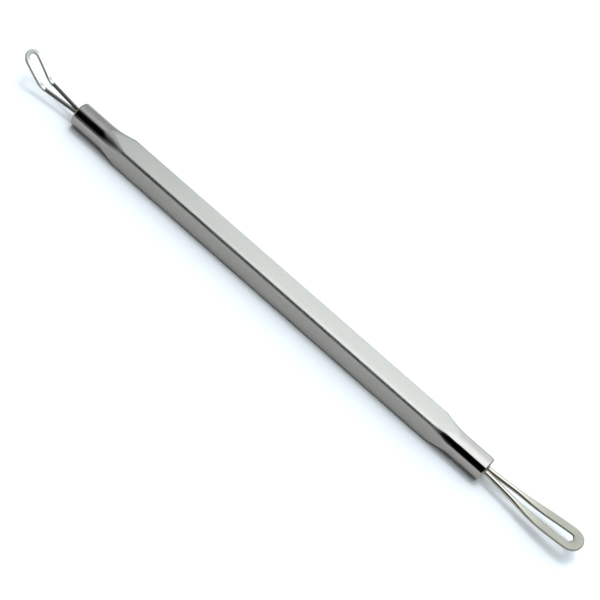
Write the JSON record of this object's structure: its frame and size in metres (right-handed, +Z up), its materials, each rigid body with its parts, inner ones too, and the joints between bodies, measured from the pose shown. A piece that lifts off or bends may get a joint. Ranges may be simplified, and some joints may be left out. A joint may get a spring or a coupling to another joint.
{
  "type": "blackhead extractor",
  "caption": "Double-ended blackhead extractor: square steel bar handle with turned round ends, a wide flattened wire loop at one end and a narrow upturned loop at the other.",
  "frame": {"origin": "centre of the flat underside of the square bar, on which the tool lies", "axes": "+X along the handle towards the wide loop, +Z up, away from the surface that the tool lies on"},
  "size_m": [0.1074, 0.0042, 0.0055],
  "materials": {
    "handle": "satin flats, polished turned ends",
    "wide_loop": "satin",
    "angled_loop": "polished",
    "braze": "dull"
  },
  "bodies": {
    "root": {"handle": "handle", "wide_loop": "wide_loop", "angled_loop": "angled_loop", "wide_braze": "braze", "angled_braze": "braze"}
  },
  "joints": []
}
